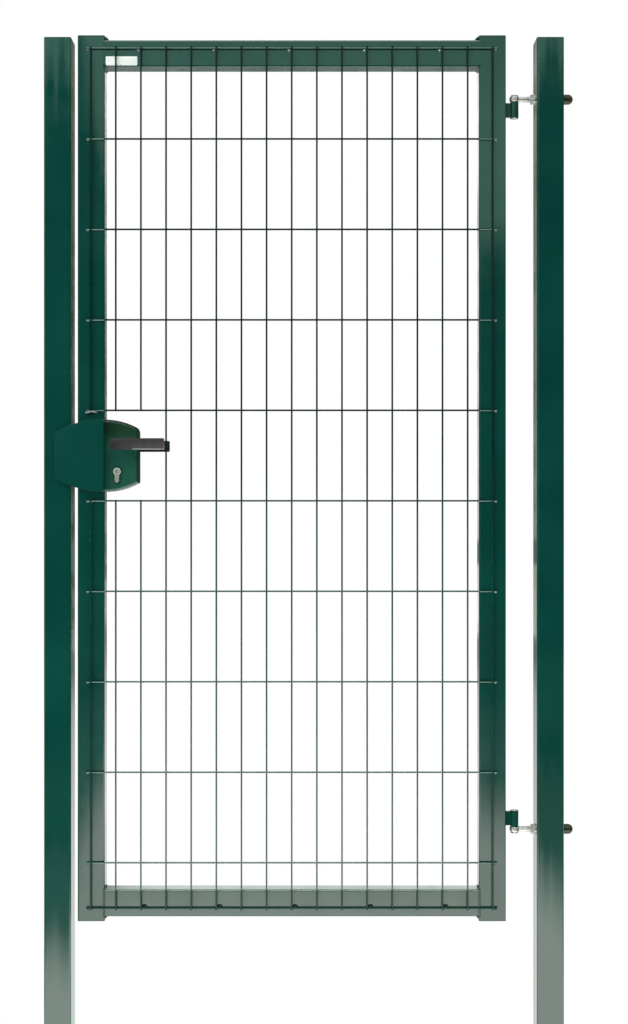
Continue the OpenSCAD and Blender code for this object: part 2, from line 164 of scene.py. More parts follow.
class Shelf:  # the nodes of one material or world
    def __init__(self, tree):
        self.tree = tree
        tree.nodes.clear()

    def node(self, kind, settings=None, inputs=None, output=0):
        made = self.tree.nodes.new(kind)
        for key, value in (settings or {}).items():
            setattr(made, key, value)
        for key, value in (inputs or {}).items():
            if isinstance(value, Flow):
                self.tree.links.new(value.socket, made.inputs[key])
            else:
                made.inputs[key].default_value = value
        self.last = made
        return Flow(self, made.outputs[output]) if len(made.outputs) else None

    def noise(self, place, scale, detail, roughness=0.5):
        return self.node("ShaderNodeTexNoise", {"noise_dimensions": "3D"}, {
            "Vector": place, "Scale": scale, "Detail": detail, "Roughness": roughness})

    def ranged(self, value, low, high, toLow=0.0, toHigh=1.0, smoothly=True):
        kind = "SMOOTHSTEP" if smoothly else "LINEAR"
        return self.node("ShaderNodeMapRange", {"interpolation_type": kind}, {
            "Value": value, "From Min": low, "From Max": high, "To Min": toLow, "To Max": toHigh})

    def blend(self, factor, first, second):
        self.node("ShaderNodeMix", {"data_type": "RGBA", "blend_type": "MIX"})
        mixer = self.last
        for index, value in ((0, factor), (6, first), (7, second)):
            if isinstance(value, Flow):
                self.tree.links.new(value.socket, mixer.inputs[index])
            elif index == 0:
                mixer.inputs[index].default_value = value
            else:
                mixer.inputs[index].default_value = (*value, 1)
        return Flow(self, mixer.outputs[2])

    def stretched(self, scale, shift=(0, 0, 0)):
        place = self.node("ShaderNodeTexCoord", output=3)
        return self.node("ShaderNodeMapping", {}, {"Vector": place, "Location": shift, "Scale": scale})

    def parted(self, kind):  # x, y and z of the place or of the surface's direction
        outlet = {"direction": 1, "place": 3}[kind]
        self.node("ShaderNodeSeparateXYZ", {}, {0: self.node("ShaderNodeTexCoord", output=outlet)})
        return [Flow(self, part) for part in self.last.outputs]

    def size(self, value):
        return self.node("ShaderNodeMath", {"operation": "ABSOLUTE"}, {0: value})

    def larger(self, first, second):
        return self.node("ShaderNodeMath", {"operation": "MAXIMUM"}, {0: first, 1: second})


def newMaterial(name):
    material = bpy.data.materials.new(name)
    material.use_nodes = True
    return material, Shelf(material.node_tree)


def finished(shelf, constants, varying, cover=None):
    surface = shelf.node("ShaderNodeBsdfPrincipled", {}, {**constants, **varying})
    if cover:
        share, dull = cover
        flat = shelf.node("ShaderNodeBsdfDiffuse", {}, {"Color": (*dull, 1)})
        surface = shelf.node("ShaderNodeMixShader", {}, {0: share, 1: surface, 2: flat})
    shelf.node("ShaderNodeOutputMaterial", {}, {"Surface": surface})


greenPaint = {
    "deep": (0.0008, 0.0400, 0.0310),
    "light": (0.0022, 0.0500, 0.0390),
    "cloud": (6.0, 3.0),  # each grain is a scale and a detail
    "speckle": (260.0, 2.0),
    "mottle": (22.0, 3.0),
    "roughness": (0.09, 0.17),
    "ior": 1.67,
    "peelSize": 2.2 * mm,
    "peelHeight": 0.006 * mm,
    "wave": (3.0, 3.0, 0.8),  # long waves in the tube's walls
    "waveHeight": 7.0 * mm,
    "middle": 1.45,
    "lean": 0.0,  # slope of the face at the middle's height
    "bow": 0.0,  # change of that slope per metre of height
    "stripes": (55, 55, 0.6),
    "streak": 0.0,  # slope that differs from stripe to stripe
    "skew": (0.0, 0.0),  # slope that grows with the height and with x, and the x it starts from
}


def wireColour(shelf, look, colour, place, direction):
    x, y, z = place
    sideways, outwards, upwards = direction
    left, right, under, over = look["bay"]
    blur = look["bayBlur"]
    row = shelf.ranged(y, *look["rowFrom"])
    beside = shelf.larger(shelf.ranged(x, left, left - blur), shelf.ranged(x, right, right + blur))
    aboveSill = shelf.ranged(z, under, under + 2 * mm)
    # painted shade: the backs of the wires, and so most of each row, are darker
    colour = shelf.blend(shelf.ranged(y, *look["rearFrom"]), colour, look["rear"])
    # painted shade: darker wires higher up
    colour = shelf.blend(shelf.ranged(z, *look["upperFrom"]), colour, look["upper"])
    # painted reflection of the bright floor: paler wires inside the bay below the lock, most of all on their
    # rims
    free = (1.0 - beside) * aboveSill * shelf.ranged(outwards, 0.0, -0.3)
    paler = shelf.ranged(z, *look["lowerFrom"], smoothly=False)
    paler = (paler + shelf.ranged(z, *look["stepFrom"]) * look["step"]) * (1.0 + row * look["rowGain"])
    aslant = shelf.larger(shelf.size(sideways), shelf.size(upwards))
    rim = shelf.ranged(aslant, *look["rimFrom"], *look["rim"])
    colour = shelf.blend(paler * free * rim, colour, look["lower"])
    # painted highlight: the rows catch light where the frame lies behind them
    framed = shelf.larger(beside, shelf.ranged(z, over, over + 2 * mm)) * aboveSill
    crest = shelf.size(upwards - shelf.ranged(z, *look["crestFrom"], *look["crest"]))
    lit = shelf.ranged(crest, *look["lineFrom"]) * row
    return shelf.blend(lit * framed, colour, look["line"])


def caseColour(shelf, look, colour, x, z):  # painted shade: a darker top, and a darker ring in the gap round the key cylinder and down its leg
    colour = shelf.blend(shelf.ranged(z, *look["topFrom"]), colour, look["top"])
    keyX, keyZ = look["key"]
    aside = shelf.size(x - keyX)
    away = (aside ** 2.0 + (z - keyZ) * (z - keyZ)) ** 0.5
    footEnd, footStart = look["legFoot"]
    leg = shelf.ranged(aside, *look["legSides"]) * shelf.ranged(z, keyZ - footEnd, keyZ - footStart)
    leg = leg * shelf.ranged(z, keyZ, keyZ - look["legTop"])
    return shelf.blend(shelf.larger(shelf.ranged(away, *look["ring"]), leg), colour, look["gapShade"])


def paintCover(shelf, look, z, sideways, upwards):  # a duller coat over part of the paint; on the case it paints shade, on the posts' inner sides it paints light and shade
    if "mattShade" in look:  # painted shade: a dark matt coat on the sides that face right and up
        return shelf.ranged(sideways + upwards * 0.6, 0.3, 0.6), look["mattShade"]
    if "dull" in look:  # the low ends
        return shelf.ranged(z, *look["dullFrom"]), look["dull"]
    if "inner" in look:  # the side towards the leaf, in a painted tint of light on the latch post and of shade on the hinge post
        way, share, shade = look["inner"]
        return shelf.ranged(sideways * way, 0.6, 0.9, 0.0, share), shade
    return None


def paintNormal(shelf, look, seed, shifted, x, z):  # the tube's bows and waves, and the paint's fine peel
    wavy = shelf.noise(shelf.stretched(look["wave"], (seed, 0, seed)), 1.0, 1.0) * look["waveHeight"]
    rise = z - look["middle"]
    if look["lean"] or look["bow"]:
        wavy = wavy - rise * look["lean"] - rise * rise * (look["bow"] / 2)
    first = shelf.node("ShaderNodeBump", {}, {"Strength": 1.0, "Distance": 1.0, "Height": wavy})
    peel = shelf.noise(shifted, 0.5 / look["peelSize"], 1.0)
    normal = shelf.node("ShaderNodeBump", {}, {
        "Strength": 1.0, "Distance": look["peelHeight"] * 4, "Height": peel, "Normal": first})
    if look["streak"]:
        slope, start = look["skew"]
        stripes = shelf.noise(shelf.stretched(look["stripes"], (seed, 0, seed)), 1.0, 2.0) - 0.5
        tilt = stripes * look["streak"] + rise * (x - start) * slope
        push = shelf.node("ShaderNodeCombineXYZ", {}, {2: tilt})
        normal = shelf.node("ShaderNodeVectorMath", {"operation": "ADD"}, {0: normal, 1: push})
        normal = shelf.node("ShaderNodeVectorMath", {"operation": "NORMALIZE"}, {0: normal})
    return normal


def makePaint(name, look, seed=0.0):
    material, shelf = newMaterial(name)
    shifted = shelf.stretched((1, 1, 1), (seed, 0, seed))
    cloud = shelf.noise(shifted, *look["cloud"])
    speckle = shelf.noise(shifted, *look["speckle"])
    tone = shelf.ranged(cloud * 0.8 + speckle * 0.2, 0.35, 0.68)
    colour = shelf.blend(tone, look["deep"], look["light"])
    roughness = shelf.ranged(shelf.noise(shifted, *look["mottle"]), 0.3, 0.7, *look["roughness"])
    place = shelf.parted("place")
    direction = shelf.parted("direction")
    x, y, z = place
    sideways, outwards, upwards = direction
    # painted shade, painted reflection and a painted highlight line on the wires
    if "line" in look:
        colour = wireColour(shelf, look, colour, place, direction)
    if "glint" in look:  # painted highlight on the undersides of the higher tacks
        lit = shelf.ranged(upwards, *look["glintSide"]) * shelf.ranged(z, *look["glintFrom"])
        colour = shelf.blend(lit * shelf.ranged(x, *look["glintAlong"]), colour, look["glint"])
    if "topSheen" in look:  # painted reflection: a paler colour on the sides that face up
        colour = shelf.blend(shelf.ranged(upwards, *look["topSheenFrom"]), colour, look["topSheen"])
    # painted shade on the case's top and round the key cylinder
    if "gapShade" in look:
        colour = caseColour(shelf, look, colour, x, z)
    finished(shelf, {"IOR": look["ior"]}, {
        "Base Color": colour, "Roughness": roughness, "Normal": paintNormal(shelf, look, seed, shifted, x, z),
    }, paintCover(shelf, look, z, sideways, upwards))
    return material


glossy = {"roughness": (0.05, 0.11), "streak": 0.07}
# painted light on the latch post's side towards the leaf, painted shade on the hinge post's
latchPostPaint = makePaint("latch_post_paint", {
    **greenPaint, **glossy, "bow": -0.004, "inner": (1.0, 0.10, (0.06, 0.22, 0.10))}, seed=4.3)
hingePostPaint = makePaint("hinge_post_paint", {
    **greenPaint, **glossy, "lean": -0.0312, "bow": 0.0292, "skew": (-0.20, 0.0),
    "inner": (-1.0, 0.20, (0.02, 0.06, 0.02))}, seed=7.1)
dullEnds = {"dull": (0.010, 0.055, 0.045), "dullFrom": (0.80, 0.62, 0.0, 0.22)}
latchStilePaint = makePaint("latch_stile_paint", {
    **greenPaint, **dullEnds, "lean": -0.0623, "bow": 0.0822, "streak": 0.035, "skew": (1.5, -1.012)})
hingeStilePaint = makePaint("hinge_stile_paint", {
    **greenPaint, **dullEnds, "lean": -0.0289, "bow": 0.1349, "streak": 0.025}, seed=2.6)
# painted reflection: a paler colour on the rails' sides that face up
railPaint = makePaint("rail_paint", {
    **greenPaint, "bow": 0.09, "topSheen": (0.17, 0.22, 0.20), "topSheenFrom": (0.06, 0.35)}, seed=1.4)
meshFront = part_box("mesh_panel")[0].y
railLow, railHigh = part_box("top_rail")
wirePaint = makePaint("wire_paint", {
    **greenPaint, "deep": (0.0006, 0.0330, 0.0260), "light": (0.0012, 0.0400, 0.0330), "ior": 1.27,
    "roughness": (0.24, 0.34), "waveHeight": 0.2 * mm, "peelHeight": 0.003 * mm,
    "rowFrom": (meshFront + 2.2 * mm, meshFront + 3.0 * mm),  # the rows lie behind the columns
    # painted shade on the wires' backs
    "rear": (0.0010, 0.0165, 0.0130), "rearFrom": (meshFront + 3.6 * mm, meshFront + 4.4 * mm),
    # painted shade on the higher wires
    "upper": (0.0012, 0.0150, 0.0120), "upperFrom": (1.40, 1.60),
    # painted reflection of the floor on the low wires in the bay
    "lower": (0.36, 0.42, 0.40), "lowerFrom": (1.42, 0.62, 0.0, 0.28),
    "step": 0.12, "stepFrom": (1.56, 1.42), "rowGain": 1.1, "rim": (0.12, 2.5), "rimFrom": (0.45, 0.95),
    # painted highlight line on the rows in front of the frame
    "line": (0.14, 0.25, 0.22), "lineFrom": (0.60, 0.35), "crest": (-0.40, 0.40), "crestFrom": (2.20, 2.45),
    "bay": (railLow.x, railHigh.x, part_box("bottom_rail")[1].z, railLow.z), "bayBlur": 0.6 * mm})
# painted shade: the tacks are a darker copy of the green paint
tackPaint = makePaint("tack_paint", {
    **greenPaint, "deep": (0.0006, 0.0110, 0.0090), "light": (0.0012, 0.0160, 0.0130), "ior": 1.28,
    "roughness": (0.30, 0.42), "waveHeight": 0.2 * mm,
    # painted highlight on the undersides of the higher tacks
    "glint": (0.30, 0.42, 0.40), "glintSide": (0.30, -0.10), "glintFrom": (0.72, 0.80),
    "glintAlong": (-1.0, -0.3, 0.6, 1.0)})
weldPaint = makePaint("weld_paint", {
    **greenPaint, "deep": (0.0007, 0.0300, 0.0235), "light": (0.0018, 0.0420, 0.0330),
    "roughness": (0.10, 0.18), "bow": 0.09})
casePaint = makePaint("case_paint", {
    **greenPaint, "deep": (0.0050, 0.0590, 0.0400), "light": (0.0090, 0.0720, 0.0500),
    "roughness": (0.22, 0.32), "waveHeight": 0.4 * mm, "peelHeight": 0.009 * mm,
    # painted shade on the top and in the gap round the key cylinder
    "top": (0.0050, 0.0310, 0.0140), "topFrom": (1.595, 1.635),
    "key": (-957.0 * mm, 1541.5 * mm), "gapShade": (0.0025, 0.0200, 0.0120), "ring": (12.4 * mm, 10.4 * mm),
    "legSides": (7.6 * mm, 6.2 * mm), "legFoot": (27.5 * mm, 25.5 * mm), "legTop": 4 * mm,
    # painted shade: a dark matt coat on the sides that face right and up
    "mattShade": (0.012, 0.030, 0.024)})
platePaint = makePaint("plate_paint", {**greenPaint, "waveHeight": 0.8 * mm})


def makeZinc():
    look = {"base": (0.70, 0.71, 0.68), "dull": (0.50, 0.51, 0.48), "roughness": (0.18, 0.38),
            "blotch": (90.0, 4.0, 0.6), "grain": (1600.0, 2.0), "drawn": (0.15, 1, 1)}
    material, shelf = newMaterial("zinc_plating")
    blotch = shelf.noise(shelf.stretched((1, 1, 1)), *look["blotch"])
    grain = shelf.noise(shelf.stretched(look["drawn"]), *look["grain"])
    colour = shelf.blend(shelf.ranged(blotch, 0.35, 0.7), look["base"], look["dull"])
    roughness = shelf.ranged(blotch * 0.6 + grain * 0.4, 0.35, 0.65, *look["roughness"])
    normal = shelf.node("ShaderNodeBump", {}, {"Strength": 0.5, "Distance": 0.02 * mm, "Height": grain})
    finished(shelf, {"Metallic": 0.7}, {"Base Color": colour, "Roughness": roughness, "Normal": normal})
    return material


turned = {"wear": (240.0, 3.0), "scratch": (3000.0, 2.0), "drawn": (1, 1, 0.05)}


def makeNickel(name, look):
    material, shelf = newMaterial(name)
    wear = shelf.noise(shelf.stretched((1, 1, 1)), *look["wear"])
    scratch = shelf.noise(shelf.stretched(look["drawn"]), *look["scratch"])
    colour = shelf.blend(shelf.ranged(wear, 0.45, 0.72), look["base"], look["worn"])
    if "low" in look:  # painted shade: the part below this height is darker
        height = shelf.parted("place")[2]
        colour = shelf.blend(shelf.ranged(height, *look["lowFrom"]), colour, look["low"])
    roughness = shelf.ranged(wear * 0.5 + scratch * 0.5, 0.35, 0.65, *look["roughness"])
    normal = shelf.node("ShaderNodeBump", {}, {"Strength": 0.4, "Distance": 0.01 * mm, "Height": scratch})
    finished(shelf, {"Metallic": look["metal"]}, {
        "Base Color": colour, "Roughness": roughness, "Normal": normal})
    return material


def makeBareSteel():
    look = {"base": (0.50, 0.49, 0.47), "dark": (0.34, 0.33, 0.31), "roughness": (0.28, 0.45),
            "brushed": (2400.0, 3.0), "drawn": (0.04, 1, 1), "patch": (70.0, 3.0)}
    material, shelf = newMaterial("bare_steel")
    brushed = shelf.noise(shelf.stretched(look["drawn"]), *look["brushed"])
    patch = shelf.noise(shelf.stretched((1, 1, 1)), *look["patch"])
    colour = shelf.blend(shelf.ranged(patch, 0.4, 0.75), look["base"], look["dark"])
    roughness = shelf.ranged(brushed, 0.3, 0.7, *look["roughness"])
    normal = shelf.node("ShaderNodeBump", {}, {"Strength": 0.5, "Distance": 0.02 * mm, "Height": brushed})
    finished(shelf, {"Metallic": 1.0}, {"Base Color": colour, "Roughness": roughness, "Normal": normal})
    return material


def makeLeverPaint(name, look):
    material, shelf = newMaterial(name)
    place = shelf.stretched((1, 1, 1))
    cloud = shelf.noise(place, *look["cloud"])
    fine = shelf.noise(place, *look["fine"])
    colour = shelf.blend(shelf.ranged(cloud * 0.6 + fine * 0.4, 0.4, 0.62), look["base"], look["light"])
    x, y, z = shelf.parted("place")
    # painted shade on the lever's end over the case
    colour = shelf.blend(shelf.ranged(x, *look["neckFrom"], smoothly=False), colour, look["neck"])
    # painted shade: a darker top
    colour = shelf.blend(shelf.ranged(z, *look["upperFrom"]), colour, look["upper"])
    # painted highlight along the lower edge, out past the case
    edge = shelf.ranged(z, *look["rimFrom"]) * shelf.ranged(x, *look["rimStart"])
    colour = shelf.blend(edge, colour, look["rim"])
    roughness = shelf.ranged(cloud, 0.35, 0.65, *look["roughness"])
    normal = shelf.node("ShaderNodeBump", {}, {"Strength": 0.5, "Distance": 0.01 * mm, "Height": fine})
    finished(shelf, {"IOR": look["ior"]}, {"Base Color": colour, "Roughness": roughness, "Normal": normal})
    return material


def makeDomePlastic():
    look = {"base": (0.013, 0.021, 0.009), "light": (0.026, 0.036, 0.017), "roughness": (0.20, 0.34),
            "cloud": (120.0, 3.0), "fine": (1100.0, 2.0)}
    material, shelf = newMaterial("dome_plastic")
    place = shelf.stretched((1, 1, 1))
    cloud = shelf.noise(place, *look["cloud"])
    fine = shelf.noise(place, *look["fine"])
    colour = shelf.blend(shelf.ranged(cloud, 0.35, 0.7), look["base"], look["light"])
    roughness = shelf.ranged(cloud * 0.5 + fine * 0.5, 0.4, 0.62, *look["roughness"])
    normal = shelf.node("ShaderNodeBump", {}, {"Strength": 0.5, "Distance": 0.04 * mm, "Height": fine})
    finished(shelf, {"IOR": 1.5}, {"Base Color": colour, "Roughness": roughness, "Normal": normal})
    return material


def makeLabelFilm():
    look = {"base": (0.79, 0.83, 0.81), "shade": (0.73, 0.78, 0.76), "roughness": (0.22, 0.34),
            "cloud": (60.0, 2.0), "fibre": (900.0, 3.0)}
    material, shelf = newMaterial("label_film")
    place = shelf.stretched((1, 1, 1))
    cloud = shelf.noise(place, *look["cloud"])
    fibre = shelf.noise(place, *look["fibre"])
    colour = shelf.blend(shelf.ranged(cloud * 0.7 + fibre * 0.3, 0.4, 0.65), look["base"], look["shade"])
    roughness = shelf.ranged(cloud, 0.35, 0.65, *look["roughness"])
    normal = shelf.node("ShaderNodeBump", {}, {"Strength": 0.3, "Distance": 0.03 * mm, "Height": fibre})
    finished(shelf, {"IOR": 1.48}, {"Base Color": colour, "Roughness": roughness, "Normal": normal})
    return material


zinc = makeZinc()
# painted shade: the key cylinder's leg is darker
nickel = makeNickel("nickel_plating", {
    **turned, "base": (0.80, 0.94, 0.84), "worn": (0.56, 0.66, 0.58), "roughness": (0.20, 0.36), "metal": 0.6,
    "low": (0.40, 0.50, 0.42), "lowFrom": (1.5365, 1.5325)})
dullNickel = makeNickel("plug_nickel", {
    **turned, "base": (0.84, 0.96, 0.84), "worn": (0.46, 0.54, 0.46), "roughness": (0.28, 0.42),
    "metal": 0.85})
brightWeld = makeNickel("bright_weld", {
    **turned, "base": (0.30, 0.38, 0.37), "worn": (0.20, 0.28, 0.27), "roughness": (0.30, 0.44),
    "metal": 0.4})
bareSteel = makeBareSteel()
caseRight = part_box("lock_case")[1].x
darkLever = {
    "base": (0.056, 0.051, 0.056), "light": (0.060, 0.055, 0.060), "roughness": (0.24, 0.34), "ior": 1.4,
    "cloud": (40.0, 2.0), "fine": (1400.0, 2.0),
    # painted shade near the case and on the top, and a painted highlight along the lower edge
    "neck": (0.016, 0.014, 0.016), "neckFrom": (caseRight + 10 * mm, caseRight - 64 * mm, 0.0, 1.0),
    "upper": (0.030, 0.026, 0.029), "upperFrom": (1.594, 1.612),
    "rim": (0.25, 0.24, 0.25), "rimFrom": (1.5918, 1.5898),
    "rimStart": (caseRight - 12 * mm, caseRight - 4 * mm),
}
leverPaint = makeLeverPaint("lever_paint", darkLever)
# painted shade: the back lever is a darker copy of the lever paint
backLeverPaint = makeLeverPaint("back_lever_paint", {
    **darkLever, "base": (0.010, 0.009, 0.010), "light": (0.013, 0.012, 0.013), "roughness": (0.34, 0.44),
    "upper": (0.016, 0.015, 0.016), "rim": (0.008, 0.007, 0.008), "ior": 1.3})
domePlastic = makeDomePlastic()
labelFilm = makeLabelFilm()
print("materials ready")

finishes = {
    "hinge_post": hingePostPaint, "hinge_post_cap": hingePostPaint, "hinge_post_foot_plate": hingePostPaint,
    "latch_post": latchPostPaint, "latch_post_cap": latchPostPaint, "latch_post_foot_plate": latchPostPaint,
    "latch_stile": latchStilePaint, "latch_stile_top_cap": latchStilePaint,
    "latch_stile_bottom_cap": latchStilePaint,
    "hinge_stile": hingeStilePaint, "hinge_stile_top_cap": hingeStilePaint,
    "hinge_stile_bottom_cap": hingeStilePaint,
    "top_rail": railPaint, "bottom_rail": railPaint, "mesh_panel": wirePaint,
    "upper_hinge_barrel": platePaint, "lower_hinge_barrel": platePaint,
    "shield_plate": platePaint, "shield_spacer": platePaint, "lock_case": casePaint,
    "lock_face_plate": bareSteel, "latch_tongue": bareSteel, "dead_bolt": bareSteel, "spindle": bareSteel,
    "key_cylinder": nickel, "front_key_plug": dullNickel, "back_key_plug": dullNickel,
    "front_lever": leverPaint, "back_lever": backLeverPaint,
    "upper_bolt_dome": domePlastic, "lower_bolt_dome": domePlastic,
}
for name, node in nodes.items():
    node.data.materials.clear()
    node.data.materials.append(finishes.get(name, zinc))


# The lock's cast case, the folded plate and the caps have their hard edges broken
brokenEdges = {
    "lock_case": ("case_shell", 0.6 * mm, 30, "leaf", "case_paint"),
    "shield_plate": ("shield_cover", 0.7 * mm, 40, "leaf", "green_paint"),
    "hinge_post_cap": ("hinge_post_lid", 0.5 * mm, 50, "posts", "green_paint"),
    "latch_post_cap": ("latch_post_lid", 0.5 * mm, 50, "posts", "green_paint"),
    "latch_stile_top_cap": ("latch_stile_lid", 0.5 * mm, 50, "leaf", "green_paint"),
    "hinge_stile_top_cap": ("hinge_stile_lid", 0.5 * mm, 50, "leaf", "green_paint"),
    "latch_stile_bottom_cap": ("latch_stile_base", 0.5 * mm, 50, "leaf", "green_paint"),
    "hinge_stile_bottom_cap": ("hinge_stile_base", 0.5 * mm, 50, "leaf", "green_paint"),
    "hinge_post_foot_plate": ("hinge_post_foot", 0.5 * mm, 50, "posts", "green_paint"),
    "latch_post_foot_plate": ("latch_post_foot", 0.5 * mm, 50, "posts", "green_paint"),
    "upper_hinge_barrel": ("upper_barrel", 0.7 * mm, 50, "leaf", "green_paint"),
    "lower_hinge_barrel": ("lower_barrel", 0.7 * mm, 50, "leaf", "green_paint"),
    "upper_hinge_washer": ("upper_washer", 0.4 * mm, 50, "posts", "zinc_plate"),
    "lower_hinge_washer": ("lower_washer", 0.4 * mm, 50, "posts", "zinc_plate"),
    "lock_face_plate": ("lock_forend", 0.4 * mm, 50, "leaf", "plain_steel"),
    "key_cylinder": ("cylinder_body", 0.8 * mm, 50, "leaf", "nickel"),
    "front_key_plug": ("front_plug", 0.3 * mm, 50, "leaf", "nickel"),
    "back_key_plug": ("back_plug", 0.3 * mm, 50, "leaf", "nickel"),
}


def breakEdges(nodeName, pieceName, width, degrees, body):
    piece = nodes[nodeName].copy()
    piece.data = nodes[nodeName].data.copy()
    bpy.context.collection.objects.link(piece)
    piece.parent = None
    for key in list(piece.keys()):
        del piece[key]
    pickOnly(piece)
    bpy.ops.mesh.customdata_custom_splitnormals_clear()
    newest(pieceName)
    editAll(piece)
    bpy.ops.mesh.remove_doubles(threshold=0.005 * mm)
    bpy.ops.mesh.dissolve_limited(angle_limit=math.radians(0.6))
    leaveEdit()
    bevel(piece, width, degrees)
    smooth(piece, 32)
    modifyNow(piece, "WEIGHTED_NORMAL", keep_sharp=True, weight=80)
    handOver(piece, body, finishes.get(nodeName, zinc))
    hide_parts(nodeName)


for name, (pieceName, width, degrees, body, slotName) in brokenEdges.items():
    breakEdges(name, pieceName, width, degrees, body)
print("edges broken")


meshWires = {
    "wire": 4.0 * mm,
    "sides": 14,
    "rounding": 0.35 * mm,
    "columns": 17,
    "rowDrop": 200 * mm,
    "overhang": (10 * mm, 4 * mm),  # rows past the columns, columns past the rows
    "lockRows": (4, 5),
    "cutColumns": 3,
    "stub": 7 * mm,
    "nugget": (2.7 * mm, 1.7 * mm, 2.7 * mm),
}


def makeWire(name, start, end):
    along = Vector(end) - Vector(start)
    lying = abs(along.x) > abs(along.z)
    bpy.ops.mesh.primitive_cylinder_add(
        vertices=meshWires["sides"], radius=meshWires["wire"] / 2, depth=along.length,
        location=(Vector(start) + Vector(end)) / 2, rotation=(0, math.pi / 2 if lying else 0, 0))
    piece = newest(name)
    fixPlace(piece)
    bevel(piece, meshWires["rounding"], 50)
    return piece


def makeMeshPanel():
    low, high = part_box("mesh_panel")
    radius = meshWires["wire"] / 2
    overRow, overColumn = meshWires["overhang"]
    left, right = low.x + overRow, high.x - overRow
    top, bottom = high.z - overColumn, low.z + overColumn
    rowY = high.y - radius
    columnY = low.y + radius
    last = meshWires["columns"] - 1
    columns = [left + (right - left) * i / last for i in range(last + 1)]
    rows = []
    z = top
    while z > bottom + 1 * mm:
        rows.append(z)
        z -= meshWires["rowDrop"]
    rows.append(bottom)
    above, below = (rows[i] for i in meshWires["lockRows"])
    wires = [makeWire("row", (low.x, rowY, z), (high.x, rowY, z)) for z in rows]
    for i, x in enumerate(columns):
        if i < meshWires["cutColumns"]:
            stub = meshWires["stub"] if i == 0 else radius
            wires.append(makeWire("column", (x, columnY, low.z), (x, columnY, below + stub)))
            wires.append(makeWire("column", (x, columnY, above - stub), (x, columnY, high.z)))
        else:
            wires.append(makeWire("column", (x, columnY, low.z), (x, columnY, high.z)))
    panel = joinAll(wires, "wire_panel")
    smooth(panel, 40)
    handOver(panel, "leaf", wirePaint)
    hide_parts("mesh_panel")

    bpy.ops.mesh.primitive_uv_sphere_add(segments=10, ring_count=6, radius=1, location=(0, 0, 0))
    nugget = newest("nugget")
    nugget.scale = meshWires["nugget"]
    fixPlace(nugget)
    middle = (rowY + columnY) / 2
    spots = [copyAt(nugget, (x, middle, z)) for x in columns for z in rows]
    bpy.data.objects.remove(nugget)
    nuggets = joinAll(spots, "wire_nuggets")
    smooth(nuggets, 60)
    handOver(nuggets, "leaf", wirePaint)
    return columns, rows


columns, rows = makeMeshPanel()
print("mesh panel with", len(columns), "columns and", len(rows), "rows")


tacks = {  # each size is half the width, depth and height, each place is a shift from the wire
    "end": (3.0 * mm, 2.2 * mm, 2.4 * mm), "endAt": (3.2 * mm, -0.8 * mm, -1.6 * mm),
    "rail": (6.2 * mm, 2.6 * mm, 3.8 * mm), "railAt": (7.0 * mm, -1.0 * mm, 3.8 * mm),
    "topRail": (3.0 * mm, 1.8 * mm, 3.6 * mm), "topRailAt": (-6.0 * mm, -0.8 * mm, -3.0 * mm),
    "railColumns": (2, 5, 8, 11, 14),
    "lock": (4.2 * mm, 2.6 * mm, 5.0 * mm), "lockDeep": -0.8 * mm,
    "lobe": (3.4 * mm, 3.6 * mm, 1.9 * mm), "lobeDeep": -5.8 * mm,
    "lobes": ((1, -5.4), (5, -4.8), (9, -3.4), (13, -2.8), (17, -3.6), (21, -4.8)),  # mm from the row's end
}


def makeBlob(name, centre, size, turn=0.0):
    bpy.ops.mesh.primitive_uv_sphere_add(segments=20, ring_count=12, radius=1, location=centre)
    piece = newest(name)
    piece.scale = size
    piece.rotation_euler = (0, turn, 0)
    fixPlace(piece)
    return piece


def roughen(piece, size, strength):
    grain = bpy.data.textures.new(piece.name + "_grain", "CLOUDS")
    grain.noise_scale = size
    modifyNow(piece, "DISPLACE", texture=grain, texture_coords="GLOBAL", strength=strength, mid_level=0.5)


def makeTacks():
    low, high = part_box("mesh_panel")
    front = high.y
    blobs = []
    across, deep, rise = tacks["endAt"]
    for z in rows:
        for x in (low.x + across, high.x - across):
            blobs.append(makeBlob("tack", (x, front + deep, z + rise), tacks["end"]))
    for i in tacks["railColumns"]:
        for kind, z in (("rail", rows[-1]), ("topRail", rows[0])):
            across, deep, rise = tacks[kind + "At"]
            blobs.append(makeBlob("tack", (columns[i] + across, front + deep, z + rise), tacks[kind]))
    above, below = (rows[i] for i in meshWires["lockRows"])
    lobes = []
    for x, z in tacks["lobes"]:
        centre = (low.x + x * mm, front + tacks["lobeDeep"], above + z * mm)
        lobes.append(makeBlob("lobe", centre, tacks["lobe"]))
    blobs.append(makeBlob("tack", (columns[0], front + tacks["lockDeep"], below), tacks["lock"]))
    settings = (("wire_tacks", blobs, 0.45 * mm, 2.5 * mm, "green_paint", tackPaint),
                ("bright_bead", lobes, 0.4 * mm, 2.0 * mm, "zinc_plate", brightWeld))
    for name, parts, voxel, grain, slotName, material in settings:
        piece = joinAll(parts, name)
        modifyNow(piece, "REMESH", mode="VOXEL", voxel_size=voxel)
        roughen(piece, grain, 0.5 * mm)
        modifyNow(piece, "SMOOTH", factor=0.5, iterations=2)
        smooth(piece, 70)
        handOver(piece, "leaf", material)


makeTacks()
print("wire tacks ready")


